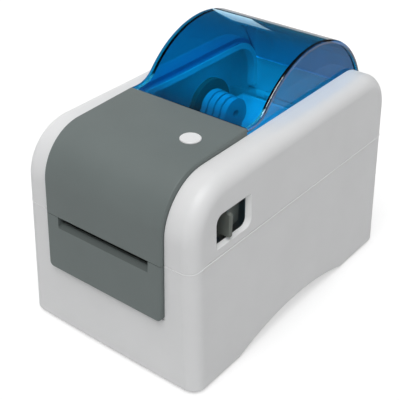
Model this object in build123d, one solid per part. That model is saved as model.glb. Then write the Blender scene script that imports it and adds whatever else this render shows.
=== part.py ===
from build123d import *
from math import acos, cos, pi, radians, sin, sqrt, tan
import os

# Desktop label printer, millimetres. X is across, Y runs from the front to the rear, Z is up.
# While it is modelled, y = 0 is the front wall at the parting line and z = 0 is the table.

# Casing: a lower tub and a hinged upper cover that meet at one level parting line
CASE_LENGTH = 189.0
CASE_WIDTH = 115.0
PARTING_Z = 77.9
PARTING_GAP = 0.6
CASE_BOTTOM_Z = 1.5
WALL = 2.5
SIDE_DRAFT = 2.3
FRONT_DRAFT = 0.2
REAR_DRAFT = 0.8
FRONT_BOW = 0.5
CORNER_R = 8.0
BASE_EDGE_R = 1.2
ROOF_FRONT_Z = 119.2
ROOF_SLOPE = 0.8
ROOF_FRONT_R = 29.0
ROOF_REAR_R = 24.0
# The parting line dips across the front, down to where the grey panels part
DIP = 2.1
DIP_START_Y = 1.5
DIP_END_Y = 9.0
LIP_WALL = 1.2
LIP_RISE = 2.0
LIP_ROOT = 0.2
LIP_CLEARANCE = 0.4
ARCH_FRONT_Y = 36.0
ARCH_REAR_INSET = 41.0
ARCH_REAR_Y = CASE_LENGTH - ARCH_REAR_INSET
ARCH_RISE = 9.4

# Label roll, from the rear of the casing
ROLL_INSET = 60.6
ROLL_Y = CASE_LENGTH - ROLL_INSET
ROLL_Z = 89.6

# Hood around the roll, and the flat lead-in from the grey panel to it
HOOD_R = 60.0
HOOD_LEAD = 2.2

# Grey panels on the front and over the front edge of the top
PANEL_WIDTH = 79.0
PANEL_THICK = 3.8
PANEL_PROUD = 3.4
PANEL_LEAN = 1.6
PANEL_BOTTOM_Z = 41.8
PANEL_PARTING_Z = PARTING_Z - DIP
PANEL_PARTING_GAP = 0.3
PANEL_END_Y = ROLL_Y - HOOD_R - HOOD_LEAD
PANEL_END_Z = 123.5
PANEL_SLOPE = 2.4
PANEL_BEND_R = 28.0
PANEL_EDGE_R = 0.8
PANEL_CORNER_R = 2.8
SEAT_GAP = 0.25
SEAT_OVERLAP = 3.5
SLOT_WIDTH = 62.0
SLOT_BOTTOM_Z = 71.5
SLOT_BEVEL = 2.3

# Roll window: a clear curved hood concentric with the label roll
HOOD_THICK = 2.0
HOOD_BLEND_R = 16.0
HOOD_SIDE_THICK = 1.8
HOOD_RIM = 1.2
HOOD_EDGE_R = 1.0
HOOD_GAP = 0.5
HOOD_REAR_Z = 104.0
LEDGE_DEPTH = 2.8
RAIL_DEPTH = 6.5
RAIL_WIDTH = 5.5
RAIL_FOOT_Z = 84.0

# Cover hinge on the rear edge of the parting line
KNUCKLE_R = 3.6
KNUCKLE_GAP = 0.3
KNUCKLE_RELIEF = 0.4
HINGE_INNER_X = 22.0
BASE_KNUCKLE = 6.0
COVER_KNUCKLE = 7.4
HINGE_PIN_R = 1.5
PIN_CLEARANCE = 0.05

# Release levers, their windows and the catch pins that they hold
LATCH_Y = 28.0
LATCH_Z = 80.5
LATCH_SHAFT_R = 2.5
LEVER_X = 47.1
LEVER_WALL = 3.0
LEVER_HUB_R = 5.0
SHIELD_WALL = 1.5
SHIELD_FRONT_Y = 25.7
SHIELD_REAR_Y = 46.0
SHIELD_HIGH_Z = 98.8
FIN_Y = 29.2
FIN_WIDTH = 2.6
FIN_LOW_Z = 84.5
FIN_HIGH_Z = 98.8
FIN_PROUD = 1.2
FIN_CORNER_R = 1.6
FIN_EDGE_R = 0.8
WINDOW_FRONT_Y = 18.4
WINDOW_REAR_Y = 45.3
WINDOW_LOW_Z = 83.6
WINDOW_HIGH_Z = 101.2
WINDOW_FRONT_R = 5.2
WINDOW_REAR_R = 4.0
WINDOW_SMALL_R = 0.8
WINDOW_BEVEL_DEPTH = 2.2
WINDOW_BEVEL_BACK = 2.1
WINDOW_BEVEL_DOWN = 0.9
CATCH_Y = 26.5
CATCH_Z = 69.5
CATCH_R = 2.0
CATCH_GAP = 0.3
HOOK_THICK = 3.0
HOOK_REACH = 4.0

# Frame screwed into the upper cover: it carries the latch and the print head
FRAME_HALF = 46.5
FRAME_WALL = 2.5
FRAME_EAR_X = 50.0
FRAME_EAR_YS = (16.0, 54.0)
FRAME_EAR_Z = 106.0
FRAME_EAR_R = 3.0
FRAME_EAR_THICK = 2.5
FRAME_DECK_Z = 110.5
FRAME_FRONT_Y = 9.0
FRAME_REAR_Y = 60.0
FRAME_LOW_Z = 79.8
FRAME_NOSE_LOW_Z = 91.8
FRAME_NOSE_HIGH_Z = 98.0
FRAME_NOSE_DEPTH = 12.0
FRAME_RIB_Z = 93.8
FRAME_BEARING_R = 4.6
PILOT_DEPTH = 8.0
LATCH_SPRING_X = 37.0
LATCH_SPRING_LENGTH = 5.0
LATCH_SPRING_R = 3.6
LATCH_SPRING_WIRE = 0.8

# Print mechanism
PLATEN_Y = 14.0
PLATEN_R = 7.5
PAPER_Z = 75.1
PRINT_WIDTH = 60.0
PLATEN_SHAFT_R = 3.0
PLATEN_SPIGOT_R = 2.5
SPIGOT_END = 0.4
SHAFT_STEP = 0.6
SHAFT_END = 1.5
PLATEN_MARGIN = 1.0
SHAFT_CLEARANCE = 0.04
BUSH_R = 5.0
BUSH_FLANGE = 1.2
BUSH_SLOT_HALF = 4.4
BUSH_SLOT_LIFT = 4.2
HEAD_GAP = 0.3
HEAD_FRONT_Y = 6.5
HEAD_REAR_Y = 24.5
HEAD_MARGIN = 1.5
HEAD_THICK = 1.2
HEAD_SOCKET_DEPTH = 4.5
HEAD_SOCKET_HEIGHT = 4.0
HEAD_SOCKET_ROOM = 0.4
SINK_HEIGHT = 6.8
SINK_FINS = 6
HEAD_PIVOT_Y = 49.0
HEAD_PIVOT_Z = 86.0
HEAD_PIVOT_R = 1.5
BRACKET_SHEET = 1.5
BRACKET_MARGIN = 1.5
BRACKET_EAR_DEPTH = 14.0
HEAD_SPRING_X = 20.0
HEAD_SPRING_Y = 18.0
HEAD_SPRING_R = 3.0
HEAD_SPRING_WIRE = 0.8
TEAR_BAR_TEETH = 30
TEAR_BAR_THICK = 0.8
TEAR_BAR_HEIGHT = 8.0
TEAR_TOOTH = 0.9
TEAR_BAR_LIFT = 0.1

# Gear train from the stepping motor to the platen
GEAR_MODULE = 0.6
GEAR_ADDENDUM = 0.75
GEAR_BACKLASH = 0.12
CENTRE_EASE = 0.05
PLATEN_TEETH = 28
IDLER_SMALL_TEETH = 14
IDLER_LARGE_TEETH = 40
PINION_TEETH = 12
IDLER_ANGLE = -60.0
PINION_ANGLE = -20.0
GEAR_FACE = 2.6
GEAR_X = 47.3
GEAR_LAYER_GAP = 0.8
GEAR_PRESSURE = 20.0
IDLER_PIN_R = 1.5
MOTOR_R = 17.5
MOTOR_LENGTH = 20.0
MOTOR_SHAFT_R = 1.0
MOTOR_BOSS_R = 3.4
MOTOR_EAR_HALF = 3.5
MOTOR_EAR_REACH = 4.0
MOTOR_EAR_THICK = 1.0

# Chassis that holds the roll and the print mechanism
CHASSIS_HALF = 46.5
CHASSIS_WALL = 2.5
TROUGH_R = 57.5
TROUGH_WALL = 2.0
CHASSIS_TOP_Z = 74.2
CHASSIS_FOOT_Z = 24.0
CHASSIS_FRONT_Y = 4.0
DECK_FRONT_Y = 24.0
CHASSIS_POST_REAR_Y = 66.0
CHASSIS_POST_INSET = 8.0
BOSS_R = 3.6
BOSS_X = 41.0
SCREW_R = 1.4
SCREW_BORE_R = 2.8
SCREW_BORE_DEPTH = 10.0
SCREW_HEAD_R = 2.5
SCREW_HEAD = 2.0
SCREW_SLOT = 0.8
SCREW_SLOT_DEPTH = 0.9
SENSOR_Y = 45.0
SENSOR_HALF = 4.0
SENSOR_HEIGHT = 4.0

# Media guides that slide together on two racks and one pinion
GUIDE_OPEN = 60.0
GUIDE_TRAVEL = 17.5
GUIDE_WALL = 3.0
GUIDE_DISC_R = 19.0
GUIDE_FOOT = 30.0
GUIDE_LIFT = 0.6
HUB_R = 12.9
HUB_LENGTH = 18.0
HUB_STEPS = 4
HUB_STEP = 0.5
HUB_GROOVE = 1.2
HUB_GROOVE_WIDTH = 0.9
HUB_SHORT = 5.0
HUB_LEAD = 1.0
HUB_HOLE_R = 3.2
RACK_MODULE = 0.8
RACK_PINION_TEETH = 12
RACK_LOW_Z = 24.6
RACK_HEIGHT = 3.4
RACK_BACK = 3.4
RACK_CLEARANCE = 0.4
STUD_R = 1.6

# Feed button on the top panel
BUTTON_X = 22.2
BUTTON_INSET = 24.5
BUTTON_Y = PANEL_END_Y - BUTTON_INSET
BUTTON_R = 5.6
BUTTON_PROUD = 0.6
BUTTON_EDGE = 0.4
BUTTON_TRAVEL = 1.0
BUTTON_CLEARANCE = 0.15
BUTTON_FLANGE = 1.2
BUTTON_FLANGE_GAP = 0.6
BUTTON_STEM_R = 2.5
BUTTON_STEM = 3.0
BUTTON_SWITCH_HALF = 3.0
BUTTON_SWITCH_GAP = 0.2
BUTTON_BOARD_HALF = 11.0

# Board, sockets and power switch
BOARD_Z = 17.0
BOARD_THICK = 1.6
BOARD_FRONT_GAP = 12.0
BOARD_FRONT_Y = CHASSIS_POST_REAR_Y + BOARD_FRONT_GAP
BOARD_REAR_INSET = 5.0
BOARD_REAR_Y = CASE_LENGTH - BOARD_REAR_INSET
BOARD_WIDTH = 84.0
BOARD_POST_R = 3.0
BOARD_POST_INSET = 5.0
# Packages on the board: middle in x, front edge from the board's front, width, depth, height
PACKAGES = ((-13.0, 18.0, 14.0, 14.0, 1.6), (13.0, 20.0, 10.0, 16.0, 1.2), (-35.0, 10.0, 6.0, 24.0, 5.0))
# Round capacitors: x, distance from the board's rear
CAPACITORS = ((30.0, 24.0), (-24.0, 26.0))
CAPACITOR_R = 4.0
CAPACITOR_HEIGHT = 9.0
SOCKET_Z = 26.0
SOCKET_INSET = 0.6
SOCKET_CLEARANCE = 0.2
INLET_X = -8.0
INLET_BARREL_R = 4.3
INLET_BODY_HALF = 4.6
INLET_BODY_DEPTH = 14.0
INLET_BORE_R = 3.1
INLET_BORE_DEPTH = 10.0
INLET_PIN_R = 1.0
USB_X = 9.0
USB_HALF = 6.0
USB_HALF_HEIGHT = 5.4
USB_DEPTH = 16.0
USB_WALL = 1.4
USB_MOUTH_DEPTH = 9.0
USB_TONGUE_HALF = 2.8
USB_TONGUE_HALF_HEIGHT = 1.6
SERIAL_X = 31.0
SERIAL_HALF = 8.4
SERIAL_HALF_LOW = 7.2
SERIAL_HALF_HEIGHT = 4.0
SERIAL_NUT_X = 12.5
SERIAL_NUT_R = 2.6
SERIAL_BODY_HALF = 11.0
SERIAL_BODY_DEPTH = 10.0
SERIAL_BODY_RISE = 6.0
SERIAL_PROUD = 1.5
SWITCH_X = -31.0
SWITCH_WIDTH = 19.0
SWITCH_HEIGHT = 13.0
SWITCH_RIM = 1.2
SWITCH_DEPTH = 14.0
SWITCH_WALL = 1.4
SWITCH_WELL_DEPTH = 9.0
ROCKER_INSET = 2.6
ROCKER_PIVOT_R = 0.8
ROCKER_MARGIN = 0.5
ROCKER_BACK = 2.6
ROCKER_FRONT = 2.2
ROCKER_CREST = 3.2
ROCKER_TILT = 10.0

# Feet
FOOT_R = 6.0
FOOT_HEIGHT = 2.4
FOOT_EDGE = 0.6
FOOT_X = 42.0
FOOT_FRONT_Y = 16.0
FOOT_REAR_Y = CASE_LENGTH - 21.0

# Derived places
PANEL_HALF = PANEL_WIDTH / 2
SEAT_HALF = PANEL_HALF - SEAT_OVERLAP
POCKET_HALF = PANEL_HALF + SEAT_GAP
PLATEN_Z = PAPER_Z - PLATEN_R
HIGH = 200.0
FAR = 300.0


# Helpers
def block(x, y, z):
    """Box between three (low, high) pairs."""
    size = [high - low for low, high in (x, y, z)]
    middle = [(high + low) / 2 for low, high in (x, y, z)]
    return Pos(*middle) * Box(*size)


def rod_x(y, z, radius, low, high):
    return Pos((low + high) / 2, y, z) * Rot(0, 90, 0) * Cylinder(radius, high - low)


def rod_y(x, z, radius, low, high):
    return Pos(x, (low + high) / 2, z) * Rot(90, 0, 0) * Cylinder(radius, high - low)


def rod_z(x, y, radius, low, high):
    return Pos(x, y, (low + high) / 2) * Cylinder(radius, high - low)


def both_sides(solid):
    return solid + mirror(solid, about=Plane.YZ)


def side_face(points, rounds=()):
    """Face in side view from (y, z) corners, with some corners rounded."""
    face = make_face(Polyline(*points, close=True))
    for corner, radius in rounds:
        face = fillet(face.vertices().sort_by_distance(corner)[0], radius)
    return face


def across(face, low, high):
    """Side-view face run across the printer from x = low to x = high."""
    return Pos(low, 0, 0) * extrude(Plane.YZ * face, amount=high - low, dir=(1, 0, 0))


def disc(y, z, radius):
    return Pos(y, z) * Circle(radius)


# Casing forms
def plan(z, inset):
    """Plan outline of the casing at one height, drawn in from the outside by inset."""
    rise = z - PARTING_Z
    half = CASE_WIDTH / 2 - rise * tan(radians(SIDE_DRAFT)) - inset
    front = rise * tan(radians(FRONT_DRAFT)) + inset
    rear = CASE_LENGTH - rise * tan(radians(REAR_DRAFT)) - inset
    sides = Polyline((half, front), (half, rear), (-half, rear), (-half, front))
    bow = ThreePointArc((-half, front), (0, front - FRONT_BOW), (half, front))
    return Pos(0, 0, z) * make_face(sides + bow)


def drafted(low, high, inset):
    return loft([plan(low, inset), plan(high, inset)], ruled=True)


def cover_form(inset, low):
    """Closed form of the upper cover: drafted walls, a sloping roof and one rolled edge."""
    form = drafted(low, HIGH, inset)
    sky = Pos(0, CASE_LENGTH / 2, HIGH / 2) * Box(FAR, 2 * FAR, HIGH)
    form -= Pos(0, 0, ROOF_FRONT_Z - inset) * Rot(ROOF_SLOPE, 0, 0) * sky

    def cross_edges(solid):
        top = solid.faces().sort_by(Axis.Z)[-1]
        return top.edges().filter_by(lambda edge: abs(edge.center().X) < WALL).sort_by(Axis.Y)

    form = fillet(cross_edges(form)[0], ROOF_FRONT_R - inset)
    form = fillet(cross_edges(form)[-1], ROOF_REAR_R - inset)
    floor = form.bounding_box().min.Z
    rolled = []
    for side in (0, -1):
        wall = form.faces().sort_by(Axis.X)[side]
        rolled += [edge for edge in wall.edges() if edge.center().Z > floor + WALL]
    return fillet(rolled, CORNER_R - inset)


def arch(raised):
    """Shallow arch that lifts the middle of the base off the table."""
    span = ARCH_REAR_Y - ARCH_FRONT_Y
    radius = span ** 2 / (8 * ARCH_RISE) + ARCH_RISE / 2
    middle = (ARCH_FRONT_Y + ARCH_REAR_Y) / 2
    centre_z = CASE_BOTTOM_Z + ARCH_RISE - radius
    return rod_x(middle, centre_z, radius + raised, -FAR / 2, FAR / 2)


def tub_form(inset, low, high):
    form = drafted(low, high, inset)
    upright = form.edges().filter_by(lambda edge: abs(edge.tangent_at(0.5).Z) > 0.9)
    return fillet(upright, CORNER_R - inset)


def under_parting(offset):
    """Everything under the parting surface, which dips at the front, moved up by offset."""
    level, low = PARTING_Z + offset, PARTING_Z - DIP + offset
    points = [(-FAR, -FAR), (FAR, -FAR), (FAR, level), (DIP_END_Y, level), (DIP_START_Y, low), (-FAR, low)]
    return across(side_face(points), -FAR, FAR)


# Panel and hood outlines in side view
def panel_region(depth):
    """Everything under the grey panels' outer face, drawn in by depth."""
    lean, slope = tan(radians(PANEL_LEAN)), tan(radians(PANEL_SLOPE))
    low = -PANEL_PROUD + depth / cos(radians(PANEL_LEAN)) - PANEL_BOTTOM_Z * lean
    end_z = PANEL_END_Z - depth / cos(radians(PANEL_SLOPE))
    start_z = end_z - PANEL_END_Y * slope
    corner_y = (low + start_z * lean) / (1 - lean * slope)
    corner = (corner_y, start_z + corner_y * slope)
    points = [(low, 0), corner, (PANEL_END_Y, end_z), (PANEL_END_Y, 0)]
    return side_face(points, [(corner, PANEL_BEND_R - depth)])


def hood_region(depth, front):
    """Everything under the hood's outer face: a flat lead-in blended into the roll circle."""
    top = PANEL_END_Z - depth
    flat = side_face([(front, HOOD_REAR_Z), (ROLL_Y, HOOD_REAR_Z), (ROLL_Y, top), (front, top)])
    radius = HOOD_R - depth
    region = flat + disc(ROLL_Y, ROLL_Z, radius)
    meet = (ROLL_Y - sqrt(radius ** 2 - (top - ROLL_Z) ** 2), top)
    return fillet(region.vertices().sort_by_distance(meet)[0], HOOD_BLEND_R + depth)


def roof_region(depth):
    """Side view of the cover's roof line, drawn in by depth."""
    slope = tan(radians(ROOF_SLOPE))
    rear = CASE_LENGTH - (ROOF_FRONT_Z - PARTING_Z) * tan(radians(REAR_DRAFT)) - depth
    start = ROOF_FRONT_Z - depth
    corner = (rear, start + rear * slope)
    return side_face([(0, 0), (0, start), corner, (rear, 0)], [(corner, ROOF_REAR_R - depth)])


# Hinge
def knuckle_spans():
    """(low, high, owner) of each knuckle on the right half, from the middle outwards."""
    first = HINGE_INNER_X
    second = first + BASE_KNUCKLE + KNUCKLE_GAP
    third = second + COVER_KNUCKLE + KNUCKLE_GAP
    return [(first, first + BASE_KNUCKLE, "base"), (second, second + COVER_KNUCKLE, "cover"),
            (third, third + BASE_KNUCKLE, "base")]


def knuckles(owner):
    spans = [span for span in knuckle_spans() if span[2] == owner]
    barrels = [rod_x(CASE_LENGTH, PARTING_Z, KNUCKLE_R, low, high) for low, high, _ in spans]
    return both_sides(Part() + barrels)


def knuckle_reliefs(other):
    """Room in one half for the knuckles of the other half."""
    spans = [span for span in knuckle_spans() if span[2] == other]
    radius = KNUCKLE_R + KNUCKLE_RELIEF
    rooms = [rod_x(CASE_LENGTH, PARTING_Z, radius, low - KNUCKLE_GAP, high + KNUCKLE_GAP)
             for low, high, _ in spans]
    return both_sides(Part() + rooms)


def hinge_bore(radius):
    spans = knuckle_spans()
    return both_sides(rod_x(CASE_LENGTH, PARTING_Z, radius, spans[0][0], spans[-1][1]))


# Upper cover pieces
def lever_window(grow):
    """Window outline, its lower and rear edges moved out by grow bevels."""
    low, back = WINDOW_LOW_Z - grow * WINDOW_BEVEL_DOWN, WINDOW_REAR_Y + grow * WINDOW_BEVEL_BACK
    corners = [(WINDOW_FRONT_Y, low), (back, low), (back, WINDOW_HIGH_Z), (WINDOW_FRONT_Y, WINDOW_HIGH_Z)]
    radii = (WINDOW_SMALL_R, WINDOW_REAR_R + grow * WINDOW_BEVEL_DOWN, WINDOW_SMALL_R, WINDOW_FRONT_R)
    return side_face(corners, list(zip(corners, radii)))


def lever_window_cut():
    """Hole through the right wall, opening out in a bevel along its lower and rear edges."""
    root = wall_x((WINDOW_LOW_Z + WINDOW_HIGH_Z) / 2) - WINDOW_BEVEL_DEPTH
    hole = across(lever_window(0), root - 2 * WALL, root + WALL)
    narrow = Pos(root, 0, 0) * (Plane.YZ * lever_window(0))
    wide = Pos(root + 2 * WINDOW_BEVEL_DEPTH, 0, 0) * (Plane.YZ * lever_window(2))
    return hole + loft([narrow, wide], ruled=True)


def frame_ears():
    """Where the cover frame is screwed up into the cover: (x, y) on the right half."""
    return [(FRAME_EAR_X, y) for y in FRAME_EAR_YS]


def make_upper_case():
    low = PARTING_Z - DIP + PARTING_GAP / 2
    outside = cover_form(0, low)
    shell = outside - cover_form(WALL, low - WALL) - under_parting(PARTING_GAP / 2)
    # Rails under the edges of the long opening carry the panel and the hood
    rail = block((SEAT_HALF, SEAT_HALF + RAIL_WIDTH), (-WALL, CASE_LENGTH), (RAIL_FOOT_Z, HIGH))
    shell += both_sides(rail) & (outside - cover_form(RAIL_DEPTH, low - WALL))
    opening = block((-SEAT_HALF, SEAT_HALF), (-HIGH, PANEL_END_Y), (0, HIGH))
    opening += block((-SEAT_HALF, SEAT_HALF), (0, FAR), (HOOD_REAR_Z, HIGH))
    shell -= opening
    pocket = block((-POCKET_HALF, POCKET_HALF), (-HIGH, PANEL_END_Y), (0, HIGH))
    pocket -= across(panel_region(PANEL_THICK), -PANEL_WIDTH, PANEL_WIDTH)
    shell -= pocket
    tray = block((-POCKET_HALF, POCKET_HALF), (PANEL_END_Y, FAR), (HOOD_REAR_Z - SEAT_GAP, HIGH))
    tray -= across(roof_region(LEDGE_DEPTH), -PANEL_WIDTH, PANEL_WIDTH)
    shell -= tray
    # Lever windows, with a wide bevel along the lower and rear edges outside
    shell -= both_sides(lever_window_cut())
    # Posts for the frame's screws, grown down from under the shoulders
    for x, y in frame_ears():
        post = rod_z(x, y, FRAME_EAR_R, FRAME_EAR_Z, HIGH) & outside
        shell += both_sides(post)
        shell -= both_sides(rod_z(x, y, SCREW_R, FRAME_EAR_Z, FRAME_EAR_Z + PILOT_DEPTH))
    shell = shell - knuckle_reliefs("base") + knuckles("cover")
    return shell - hinge_bore(HINGE_PIN_R + PIN_CLEARANCE)


def panel_solid():
    """Both grey panels as one bent sheet, before they are parted."""
    sheet = panel_region(0) - panel_region(PANEL_THICK)
    solid = across(sheet, -PANEL_HALF, PANEL_HALF)
    return solid - block((-FAR, FAR), (-FAR, FAR), (-FAR, PANEL_BOTTOM_Z))


def rolled_edges(solid, middle, thick, radius):
    """Bent sheet with its two long outer edges rolled over; middle is the region inside its mid line."""
    for side in (0, -1):
        flank = solid.faces().sort_by(Axis.X)[side]
        outer = [edge for edge in flank.edges() if stands_out(edge.center(), middle) > thick / 4]
        solid = fillet(outer, radius)
    return solid


def stands_out(point, region):
    """How far a point stands out of a side-view region."""
    return Vertex(0, point.Y, point.Z).distance_to(Plane.YZ * region)


def make_upper_front_panel():
    panel = rolled_edges(panel_solid(), panel_region(PANEL_THICK / 2), PANEL_THICK, PANEL_EDGE_R)
    low = PANEL_PARTING_Z + PANEL_PARTING_GAP / 2
    panel -= block((-FAR, FAR), (-FAR, FAR), (0, low))
    panel -= rod_z(BUTTON_X, BUTTON_Y, BUTTON_R + BUTTON_CLEARANCE, ROLL_Z, HIGH)
    return panel


def make_lower_front_panel():
    high = PANEL_PARTING_Z - PANEL_PARTING_GAP / 2
    panel = panel_solid() - block((-FAR, FAR), (-FAR, FAR), (high, HIGH))
    # Round the two lower corners as seen from the front, then roll the outer edge over
    tall = HIGH - PANEL_BOTTOM_Z
    outline = Pos(0, PANEL_BOTTOM_Z + tall / 2) * RectangleRounded(PANEL_WIDTH, tall, PANEL_CORNER_R)
    panel &= extrude(Plane.XZ * outline, amount=HIGH, both=True)
    face = panel.faces().sort_by(Axis.Y)[0]
    sides = [edge for edge in face.edges() if edge.center().Z < high - PANEL_CORNER_R / 2]
    panel = fillet(sides, PANEL_EDGE_R)
    half = SLOT_WIDTH / 2
    panel -= block((-half, half), (-PANEL_PROUD * 2, PANEL_THICK * 2), (SLOT_BOTTOM_Z, HIGH))
    lips = panel.edges().filter_by(Axis.X).filter_by(
        lambda edge: abs(edge.center().Z - SLOT_BOTTOM_Z) < SLOT_BEVEL / 10).sort_by(Axis.Y)
    return chamfer(lips[0], SLOT_BEVEL)


def make_roll_window():
    skin = hood_region(0, PANEL_END_Y) - hood_region(HOOD_THICK, PANEL_END_Y - HOOD_THICK)
    skin = skin - side_face([(-FAR, -FAR), (FAR, -FAR), (FAR, HOOD_REAR_Z), (-FAR, HOOD_REAR_Z)])
    hood = across(skin, -PANEL_HALF, PANEL_HALF)
    middle = hood_region(HOOD_THICK / 2, PANEL_END_Y - HOOD_THICK)
    hood = rolled_edges(hood, middle, HOOD_THICK, HOOD_EDGE_R)
    inner = hood_region(HOOD_THICK / 2, PANEL_END_Y + HOOD_THICK / 2) - roof_region(LEDGE_DEPTH)
    high = PANEL_HALF - HOOD_RIM
    hood += both_sides(across(inner, high - HOOD_SIDE_THICK, high))
    hood -= block((-FAR, FAR), (-FAR, FAR), (-FAR, HOOD_REAR_Z))
    return hood - block((-FAR, FAR), (-FAR, PANEL_END_Y + HOOD_GAP), (-FAR, FAR))


# Cover frame and latch
def make_cover_frame():
    deck_front = FRAME_FRONT_Y + FRAME_NOSE_DEPTH
    outline = [(FRAME_FRONT_Y, FRAME_NOSE_LOW_Z), (deck_front, FRAME_LOW_Z), (FRAME_REAR_Y, FRAME_LOW_Z),
               (FRAME_REAR_Y, FRAME_DECK_Z), (deck_front, FRAME_DECK_Z), (FRAME_FRONT_Y, FRAME_NOSE_HIGH_Z)]
    cheek = side_face(outline) + disc(LATCH_Y, LATCH_Z, FRAME_BEARING_R)
    frame = across(cheek, FRAME_HALF - FRAME_WALL, FRAME_HALF)
    for x, y in frame_ears():
        low = FRAME_EAR_Z - FRAME_EAR_THICK
        frame += block((FRAME_HALF - FRAME_WALL, x), (y - FRAME_EAR_R, y + FRAME_EAR_R), (low, FRAME_EAR_Z))
        frame += rod_z(x, y, FRAME_EAR_R, low, FRAME_EAR_Z)
        frame -= rod_z(x, y, SCREW_R, low, FRAME_EAR_Z)
    frame = both_sides(frame)
    inner = FRAME_HALF - FRAME_WALL
    deck = (FRAME_DECK_Z - FRAME_WALL, FRAME_DECK_Z)
    frame += block((-inner, inner), (deck_front, FRAME_REAR_Y), deck)
    frame += block((-inner, inner), (FRAME_REAR_Y - FRAME_WALL, FRAME_REAR_Y), (FRAME_RIB_Z, FRAME_DECK_Z))
    frame -= rod_x(LATCH_Y, LATCH_Z, LATCH_SHAFT_R + PIN_CLEARANCE, -FAR, FAR)
    return frame - rod_x(HEAD_PIVOT_Y, HEAD_PIVOT_Z, HEAD_PIVOT_R + PIN_CLEARANCE, -FAR, FAR)


def make_latch_shaft():
    return rod_x(LATCH_Y, LATCH_Z, LATCH_SHAFT_R, -(LEVER_X + LEVER_WALL), LEVER_X + LEVER_WALL)


def make_latch_lever():
    """Right lever: hub, hook, dust shield, and the finger fin that stands in the window."""
    near, far = LEVER_X, LEVER_X + LEVER_WALL
    shelf = CATCH_Z - CATCH_R - CATCH_GAP
    back = CATCH_Y + CATCH_R + CATCH_GAP
    hook = side_face([(back, LATCH_Z), (back, shelf), (CATCH_Y - HOOK_REACH + CATCH_R, shelf),
                      (CATCH_Y - HOOK_REACH + CATCH_R, shelf - HOOK_THICK * 0.5),
                      (back, shelf - HOOK_THICK), (back + HOOK_THICK, shelf - HOOK_THICK * 0.5),
                      (back + HOOK_THICK, LATCH_Z)])
    lever = across(hook + disc(LATCH_Y, LATCH_Z, LEVER_HUB_R), near, far)
    # Upright arm and shield behind the window
    shield = side_face([(SHIELD_FRONT_Y, LATCH_Z), (LATCH_Y + LEVER_HUB_R, LATCH_Z),
                        (SHIELD_REAR_Y, WINDOW_LOW_Z),
                        (SHIELD_REAR_Y, SHIELD_HIGH_Z), (SHIELD_FRONT_Y, SHIELD_HIGH_Z)])
    lever += across(shield, far - SHIELD_WALL, far) + finger_fin(far - SHIELD_WALL)
    return lever - rod_x(LATCH_Y, LATCH_Z, LATCH_SHAFT_R, -FAR, far)


def finger_fin(root):
    """Upright fin from the shield out through the window, its outer end rounded for a finger."""
    outer = wall_x((FIN_LOW_Z + FIN_HIGH_Z) / 2) + FIN_PROUD
    fin = block((root, outer), (FIN_Y - FIN_WIDTH / 2, FIN_Y + FIN_WIDTH / 2), (FIN_LOW_Z, FIN_HIGH_Z))
    ends = fin.faces().sort_by(Axis.X)[-1]
    fin = fillet(ends.edges().filter_by(Axis.Y), FIN_CORNER_R)
    outer_end = fin.edges().filter_by(Axis.Z).sort_by(Axis.X)[-2:]
    return chamfer(outer_end, FIN_EDGE_R)


def wall_x(z):
    """Outside of the right wall at one height."""
    return CASE_WIDTH / 2 - (z - PARTING_Z) * tan(radians(SIDE_DRAFT))


def make_catch_pins():
    return both_sides(rod_x(CATCH_Y, CATCH_Z, CATCH_R, CHASSIS_HALF - CHASSIS_WALL, LEVER_X + LEVER_WALL))


def make_latch_springs():
    """Coils on the latch shaft, each with one leg against the frame's rear rib."""
    near, far = LATCH_SPRING_X, LATCH_SPRING_X + LATCH_SPRING_LENGTH
    inside = LATCH_SPRING_R - LATCH_SPRING_WIRE
    coil = rod_x(LATCH_Y, LATCH_Z, LATCH_SPRING_R, near, far) - rod_x(LATCH_Y, LATCH_Z, inside, near, far)
    low, high = LATCH_Z + inside, LATCH_Z + LATCH_SPRING_R
    rib = FRAME_REAR_Y - FRAME_WALL
    leg = side_face([(LATCH_Y, low), (rib, FRAME_RIB_Z), (rib, FRAME_RIB_Z + LATCH_SPRING_WIRE),
                     (LATCH_Y, high)])
    return both_sides(coil + across(leg, far - LATCH_SPRING_WIRE, far))


# Print head
def head_levels():
    """Heights of the printhead's underside, the sink's foot, the bracket's underside and its top."""
    low = PAPER_Z + HEAD_GAP
    foot = low + HEAD_THICK
    return low, foot, foot + SINK_HEIGHT, foot + SINK_HEIGHT + BRACKET_SHEET


def head_half():
    return PRINT_WIDTH / 2 + HEAD_MARGIN


def head_socket(room):
    """Cable socket at the rear of the printhead's top, with room to spare around it."""
    half = head_half() / 2 + room
    foot = head_levels()[1]
    return block((-half, half), (HEAD_REAR_Y - HEAD_SOCKET_DEPTH - room, HEAD_REAR_Y),
                 (foot, foot + HEAD_SOCKET_HEIGHT + room))


def make_printhead():
    low, foot = head_levels()[:2]
    plate = block((-head_half(), head_half()), (HEAD_FRONT_Y, HEAD_REAR_Y), (low, foot))
    return plate + head_socket(0)


def make_heat_sink():
    foot, top = head_levels()[1:3]
    half = head_half()
    sink = block((-half, half), (HEAD_FRONT_Y, HEAD_REAR_Y), (foot, top))
    pitch = (HEAD_REAR_Y - HEAD_FRONT_Y) / SINK_FINS
    for fin in range(1, SINK_FINS):
        y = HEAD_FRONT_Y + fin * pitch
        sink -= block((-half, half), (y - pitch / 4, y + pitch / 4), (foot + SINK_HEIGHT * 0.7, HIGH))
    return sink - head_socket(HEAD_SOCKET_ROOM)


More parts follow.
